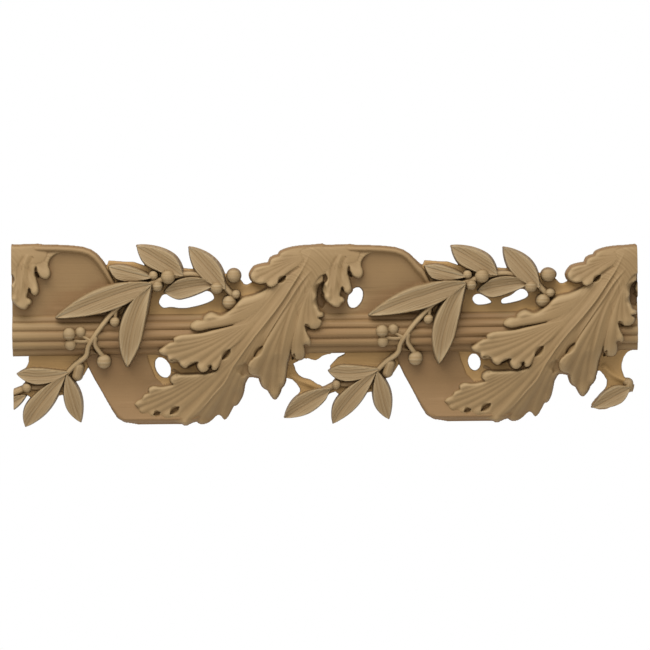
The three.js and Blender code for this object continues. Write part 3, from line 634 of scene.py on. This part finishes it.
def pierce(relief, k):
    """Opens the piercings of carving k right through what is there."""
    shift = k * REPEAT
    piercings = PIERCINGS[k % len(PIERCINGS)]
    edges = []
    for corners in piercings["outlines"] + [at_ends(shift, BRANCH_OPEN, START_OPEN, END_OPEN)]:
        outline = spline(corners, True, 4) + [shift, 0]
        got = relief.window(outline, 6)
        if got is not None:
            edges.append((got[0], -inside(outline, got[1], got[2])))
    for u0, v0, long, short, turn in piercings["ovals"]:
        got = relief.window(np.array([[u0 + shift, v0]]), long + 6)
        if got is not None:
            part, u, v = got
            c, s = math.cos(math.radians(turn)), math.sin(math.radians(turn))
            x = (u - u0 - shift) * c + (v - v0) * s
            y = (v - v0) * c - (u - u0 - shift) * s
            edges.append((part, (np.hypot(x / long, y / short) - 1) * short))
    for part, out in edges:
        wall = np.where(out > 0, 2 + WALL_SLOPE * out, WALL_SLOPE * out)
        relief.w[part] = np.minimum(relief.w[part], wall)


def cut(relief, stroke, shift):
    """Sinks one cut of the gouge, never far into the webs."""
    start, end, half, depth = stroke
    line = np.array([start, end], float) + [shift, 0]
    got = relief.window(line, half * 3)
    if got is None:
        return
    part, u, v = got
    s, dist, _ = beside(line, u, v)
    wide = half * (0.3 + 0.85 * np.sin(np.pi * s) ** 0.8)
    w = relief.w[part]
    sunk = np.maximum(w - depth * np.exp(-(dist / wide) ** 2), WEB - 1)
    relief.w[part] = np.where(w > WEB, sunk, w)


def carve():
    """The whole carving, from the ground up."""
    relief = Relief()
    repeats = range(-1, REPEATS + 1)
    for k in repeats:
        add_ground(relief, k * REPEAT)
    for k in repeats:
        pierce(relief, k)
    add_rod(relief)
    for k in repeats:
        for number, lobe in enumerate(LOBES):
            add_lobe(relief, lobe, k * REPEAT, ROOT_SUNK if number else 0)
        for vein in VEINS:
            add_vein(relief, vein, k * REPEAT, VEINS_ABOVE)
    soften(relief)
    for k in repeats:
        for fold in at_ends(k * REPEAT, FOLDS, FOLDS, END_FOLDS):
            add_vein(relief, fold, k * REPEAT, FOLDS_ABOVE)
        for stroke in CUTS:
            cut(relief, stroke, k * REPEAT)
    for k in repeats:
        shift = k * REPEAT
        for stem in STEMS[:-1] + [at_ends(shift, STEMS[-1], STEMS[-1], END_STEM)]:
            add_stem(relief, stem, shift)
        leaves = LEAVES[:-1] + [at_ends(shift, LEAVES[-1], START_LEAF, END_LEAF)]
        for number, leaf in enumerate(leaves):
            add_leaf(relief, leaf, shift, number)
        for berry in BERRIES:
            add_berry(relief, berry, shift)
    return relief


def cavity_of(relief):
    """Below 0 in hollows and above 0 on what stands out, about -1 to 1."""
    solid = (relief.w > 0).astype(float)
    w = np.maximum(relief.w, 0)
    total = 0
    for sigma, weight in CAVITY_SIZES:
        mean = blurred(w * solid, sigma / GRID) / np.maximum(blurred(solid, sigma / GRID), 1e-3)
        total = total + weight * (w - mean)
    return np.clip(total, -1, 1)


def lean(u, v):
    """How far each step of height moves a place along the run."""
    above, below = (smooth_table(u, list(zip(LEAN_AT, table))) for table in (LEAN_ABOVE, LEAN_BELOW))
    return np.where(v > 0, above, below) * (u > LEAN_AT[0]) * (u < LEAN_AT[-1])


def placed(u, v, w):
    """Places on the drawing grid in metres. Above the rod the carving falls a little along the run."""
    upright = np.where(v > 0, 1 - UPPER_EDGE_FALL * (u - REPEAT / 2) / RUN, 1)
    return np.stack([(u + lean(u, v) * v - RUN / 2) * STEP, -w * STEP, v * STEP * upright], -1)


def relief_mesh(relief):
    """The carved front and the flat back as one closed mesh that meets on the back plane."""
    w = np.pad(relief.w, ((0, 0), (1, 1)), mode="edge")
    u = np.pad(relief.u, (1, 1), mode="edge")
    grid_u, grid_v = np.meshgrid(u, relief.v)
    w[:, 0] = np.minimum(w[:, 1], 0)
    w[:, -1] = np.minimum(w[:, -2], 0)
    solid = w > 0
    rows, columns = w.shape
    sum_u = np.zeros_like(w)
    sum_v = np.zeros_like(w)
    count = np.zeros_like(w)
    for dv, du in ((0, 1), (0, -1), (1, 0), (-1, 0), (1, 1), (1, -1), (-1, 1), (-1, -1)):
        here = (slice(max(0, -dv), rows - max(0, dv)), slice(max(0, -du), columns - max(0, du)))
        there = (slice(max(0, dv), rows - max(0, -dv)), slice(max(0, du), columns - max(0, -du)))
        meets = ~solid[here] & solid[there]
        t = w[there] / np.maximum(w[there] - w[here], 1e-6)
        sum_u[here] += np.where(meets, grid_u[there] + (grid_u[here] - grid_u[there]) * t, 0)
        sum_v[here] += np.where(meets, grid_v[there] + (grid_v[here] - grid_v[there]) * t, 0)
        count[here] += meets
    border = count > 0
    grid_u = np.where(border, sum_u / np.maximum(count, 1), grid_u)
    grid_v = np.where(border, sum_v / np.maximum(count, 1), grid_v)
    used = solid | border
    cell = solid[:-1, :-1] | solid[1:, :-1] | solid[:-1, 1:] | solid[1:, 1:]
    front = np.zeros(w.shape, int)
    front[used] = np.arange(used.sum())
    back = front.copy()
    back[solid] = used.sum() + np.arange(solid.sum())
    quads = [np.stack([n[:-1, :-1], n[:-1, 1:], n[1:, 1:], n[1:, :-1]], -1)[cell] for n in (front, back)]
    quads = np.vstack([quads[0], quads[1][:, ::-1]])
    carved = placed(grid_u[used], grid_v[used], np.where(solid, w, 0)[used])
    flat = placed(grid_u[solid], grid_v[solid], np.zeros(solid.sum()))
    return mesh_of(np.vstack([carved, flat]), quads)


def mesh_of(points, quads):
    """One mesh from points in metres and the numbers of the points of each quad."""
    mesh = bpy.data.meshes.new("moulding_relief")
    mesh.vertices.add(len(points))
    mesh.vertices.foreach_set("co", points.astype(np.float32).ravel())
    mesh.loops.add(quads.size)
    mesh.loops.foreach_set("vertex_index", quads.astype(np.int32).ravel())
    mesh.polygons.add(len(quads))
    mesh.polygons.foreach_set("loop_start", np.arange(0, quads.size, 4, dtype=np.int32))
    mesh.update(calc_edges=True)
    mesh.validate()
    drop_strays(mesh)
    return mesh


def drop_strays(mesh):
    """Joins points that fall on each other and drops stray faces: those with an edge that no other face
    shares, and those that share every edge with two or more others."""
    shape = bmesh.new()
    shape.from_mesh(mesh)
    bmesh.ops.remove_doubles(shape, verts=shape.verts, dist=WELD)
    shared = {face: [len(edge.link_faces) for edge in face.edges] for face in shape.faces}
    strays = [face for face, counts in shared.items() if min(counts) != 2]
    bmesh.ops.delete(shape, geom=strays, context="FACES")
    shape.to_mesh(mesh)
    shape.free()


def thinned(mesh):
    """The mesh with few enough triangles, most of them where the form bends."""
    piece = bpy.data.objects.new("moulding_relief", mesh)
    bpy.context.collection.objects.link(piece)
    decimate = piece.modifiers.new("thin", "DECIMATE")
    decimate.ratio = MOST_TRIANGLES / (2 * len(mesh.polygons))
    bpy.context.view_layer.update()
    graph = bpy.context.evaluated_depsgraph_get()
    thin = bpy.data.meshes.new_from_object(piece.evaluated_get(graph))
    piece.modifiers.clear()
    drop_strays(thin)
    piece.data = thin
    return piece


def sampled(values, relief, points):
    """Values of the grid at points of the mesh, which are in metres. The lean is undone in two rounds."""
    u = points[:, 0] / STEP + RUN / 2
    v = points[:, 2] / STEP
    for _ in range(2):
        v_flat = np.where(v > 0, v / (1 - UPPER_EDGE_FALL * (u - REPEAT / 2) / RUN), v)
        u = points[:, 0] / STEP + RUN / 2 - lean(u, v) * v_flat
    short_of_end = 1.001
    x = np.clip((u - relief.u[0]) / GRID, 0, len(relief.u) - short_of_end)
    y = np.clip((v_flat - relief.v[0]) / GRID, 0, len(relief.v) - short_of_end)
    i, j = x.astype(int), y.astype(int)
    fx, fy = x - i, y - j
    low = values[j, i] * (1 - fx) + values[j, i + 1] * fx
    high = values[j + 1, i] * (1 - fx) + values[j + 1, i + 1] * fx
    return low * (1 - fy) + high * fy


def mark(mesh, name, values):
    """Gives a mesh an attribute for its finish, with a value at each point."""
    attribute = mesh.attributes.new(name, "FLOAT", "POINT")
    attribute.data.foreach_set("value", values.astype(np.float32))


def resin_material():
    """Matte tan resin: browner in the hollows, painted shade together with antiquing; paler and greyer where
    it stands out, a painted highlight together with the dry brushing; with a dry grain.
    """
    material = bpy.data.materials.new("cast resin")
    material.use_nodes = True
    nodes = material.node_tree.nodes
    link = material.node_tree.links.new
    shader = nodes["Principled BSDF"]
    shader.inputs["Roughness"].default_value = 0.72
    shader.inputs["Specular IOR Level"].default_value = 0.25

    def attribute(name):
        node = nodes.new("ShaderNodeAttribute")
        node.attribute_name = name
        return node.outputs["Fac"]

    def mixed(amount, a, b, kind="MIX"):
        node = nodes.new("ShaderNodeMix")
        node.data_type = "RGBA"
        node.blend_type = kind
        for socket, value in (("Factor", amount), ("A", a), ("B", b)):
            target = [i for i in node.inputs if i.name == socket and i.enabled][0]
            if isinstance(value, bpy.types.NodeSocket):
                link(value, target)
            else:
                target.default_value = value
        return [o for o in node.outputs if o.enabled][0]

    def mapped(value, low, high, to_low=0.0, to_high=1.0):
        node = nodes.new("ShaderNodeMapRange")
        link(value, node.inputs["Value"])
        for name, number in (("From Min", low), ("From Max", high), ("To Min", to_low), ("To Max", to_high)):
            node.inputs[name].default_value = number
        return node.outputs["Result"]

    def product(a, b):
        node = nodes.new("ShaderNodeMath")
        node.operation = "MULTIPLY"
        link(a, node.inputs[0])
        link(b, node.inputs[1])
        return node.outputs[0]

    cavity = attribute("cavity")
    leafy = attribute("leafy")
    # The grain is drawn out along each form
    stretch = 0.09
    run = nodes.new("ShaderNodeCombineXYZ")
    link(mapped(attribute("along"), 0, 1, 0, stretch), run.inputs["X"])
    link(attribute("across"), run.inputs["Y"])
    grain = nodes.new("ShaderNodeTexNoise")
    grain.inputs["Scale"].default_value = 0.5
    grain.inputs["Detail"].default_value = 3
    link(run.outputs[0], grain.inputs["Vector"])
    place = nodes.new("ShaderNodeTexCoord")
    mottle = nodes.new("ShaderNodeTexNoise")
    mottle.inputs["Scale"].default_value = 60
    mottle.inputs["Detail"].default_value = 5
    link(place.outputs["Object"], mottle.inputs["Vector"])

    # The first colour is painted shade together with an antiquing brown for the hollows, and also the browner
    # ribbon's colour; the third is a painted highlight together with the dry brushing for what stands out
    shade_and_antique_brown = (0.098, 0.053, 0.018, 1)
    body = (0.114, 0.0695, 0.0265, 1)
    highlight_and_dry_brush = (0.156, 0.1025, 0.046, 1)
    dry = (0.142, 0.109, 0.063, 1)
    warm = (0.162, 0.094, 0.031, 1)
    # Painted shade darkens the hollows and a painted highlight lightens what stands out, each over a real
    # antiquing or dry-brushed tone
    colour = mixed(mapped(cavity, -0.5, 0.02), shade_and_antique_brown, body)
    colour = mixed(mapped(cavity, 0.02, 0.5), colour, highlight_and_dry_brush)
    # Below 0 are the ribbon, which is browner, and then the webs, which are warmer
    colour = mixed(mapped(leafy, -0.02, -0.28), colour, shade_and_antique_brown)
    colour = mixed(mapped(leafy, -0.3, -1.0), colour, warm)
    # The dry brush caught the leaves most, and there what stands out
    streaks = product(mapped(grain.outputs["Fac"], 0.4, 0.72), leafy)
    colour = mixed(product(streaks, mapped(cavity, -0.4, 0.4)), colour, dry)
    patches = product(mapped(mottle.outputs["Fac"], 0.3, 0.7, 0.95, 1.05), mapped(leafy, 0.3, 1, 1, 0.93))
    shade = nodes.new("ShaderNodeVectorMath")
    shade.operation = "SCALE"
    link(colour, shade.inputs[0])
    tones = nodes.new("ShaderNodeMath")
    tones.operation = "MULTIPLY_ADD"
    link(mapped(grain.outputs["Fac"], 0.3, 0.7, -0.11, 0.11), tones.inputs[0])
    link(mapped(leafy, 0, 0.3, 0.15, 1.0), tones.inputs[1])
    link(patches, tones.inputs[2])
    link(tones.outputs[0], shade.inputs["Scale"])
    link(shade.outputs[0], shader.inputs["Base Color"])
    bump = nodes.new("ShaderNodeBump")
    bump.inputs["Strength"].default_value = 0.6
    bump.inputs["Distance"].default_value = 0.001
    link(product(grain.outputs["Fac"], mapped(leafy, 0, 1, 0.12, 1.0)), bump.inputs["Height"])
    link(bump.outputs["Normal"], shader.inputs["Normal"])
    return material


def make_moulding():
    """The fine relief with its finish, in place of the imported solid."""
    relief = carve()
    piece = thinned(relief_mesh(relief))
    count = len(piece.data.vertices)
    points = np.empty(count * 3, np.float32)
    piece.data.vertices.foreach_get("co", points)
    points = points.reshape(-1, 3)
    carved = points[:, 1] < -BACK_GAP
    # cavity carries painted shade for the hollows and a painted highlight for what stands out, and where the
    # dry brush caught
    mark(piece.data, "cavity", sampled(cavity_of(relief), relief, points) * carved)
    for name in ("along", "across", "leafy"):
        mark(piece.data, name, sampled(getattr(relief, name), relief, points) * carved)
    piece.data.polygons.foreach_set("use_smooth", np.ones(len(piece.data.polygons), bool))
    piece.data.set_sharp_from_angle(angle=math.radians(SHARP_BEND))
    piece.data.materials.clear()
    piece.data.materials.append(resin_material())
    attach(piece, "root")
    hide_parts("moulding")


def plain_material(name, colour):
    material = bpy.data.materials.new(name)
    material.use_nodes = True
    shader = material.node_tree.nodes["Principled BSDF"]
    shader.inputs["Base Color"].default_value = (*colour, 1)
    shader.inputs["Roughness"].default_value = 0.9
    return material


def make_floor():
    bpy.ops.mesh.primitive_plane_add(size=6, location=(0, 0, -0.6))
    floor = bpy.context.object
    floor.name = "pale_floor"
    floor.data.materials.append(plain_material("pale_floor", (0.9, 0.9, 0.9)))


def make_light():
    """A white surround, with a soft box above on the left and a weaker one in front."""
    world = bpy.data.worlds.new("white surround")
    world.use_nodes = True
    world.node_tree.nodes["Background"].inputs["Color"].default_value = (1, 1, 1, 1)
    world.node_tree.nodes["Background"].inputs["Strength"].default_value = 1.0
    bpy.context.scene.world = world
    add_soft_box("soft box above", (-0.25, -0.55, 0.95), (1.2, 0.6), 30, (32, 0, -12))
    add_soft_box("soft box in front", (-0.3, -1.2, 0.45), (1.2, 1.2), 12, (69, 0, -14))


def add_soft_box(name, location, size, energy, turn):
    lamp = bpy.data.lights.new(name, "AREA")
    lamp.shape = "RECTANGLE"
    lamp.size, lamp.size_y = size
    lamp.energy = energy
    light = bpy.data.objects.new(name, lamp)
    light.location = location
    light.rotation_euler = [math.radians(angle) for angle in turn]
    bpy.context.collection.objects.link(light)


def make_camera():
    """Far in front and a little above, as on the photograph: a step of the carving is a pixel wide there."""
    picture_width = 650
    focal_pixels = 6000
    aim_above_rod = 7.19
    look_down = math.radians(4)
    roll = math.radians(0.6)
    camera = bpy.data.cameras.new("camera")
    camera.sensor_width = 36
    camera.lens = camera.sensor_width * focal_pixels / picture_width
    camera.clip_start = 0.01
    holder = bpy.data.objects.new("camera", camera)
    distance = focal_pixels * STEP
    height = aim_above_rod * STEP + distance * math.sin(look_down)
    holder.location = (0, -distance * math.cos(look_down), height)
    tilt = Matrix.Rotation(math.pi / 2 - look_down, 4, "X")
    holder.rotation_euler = (tilt @ Matrix.Rotation(-roll, 4, "Z")).to_euler()
    bpy.context.collection.objects.link(holder)
    bpy.context.scene.camera = holder


make_moulding()
make_floor()
make_light()
make_camera()
bpy.context.scene.view_settings.view_transform = "Standard"
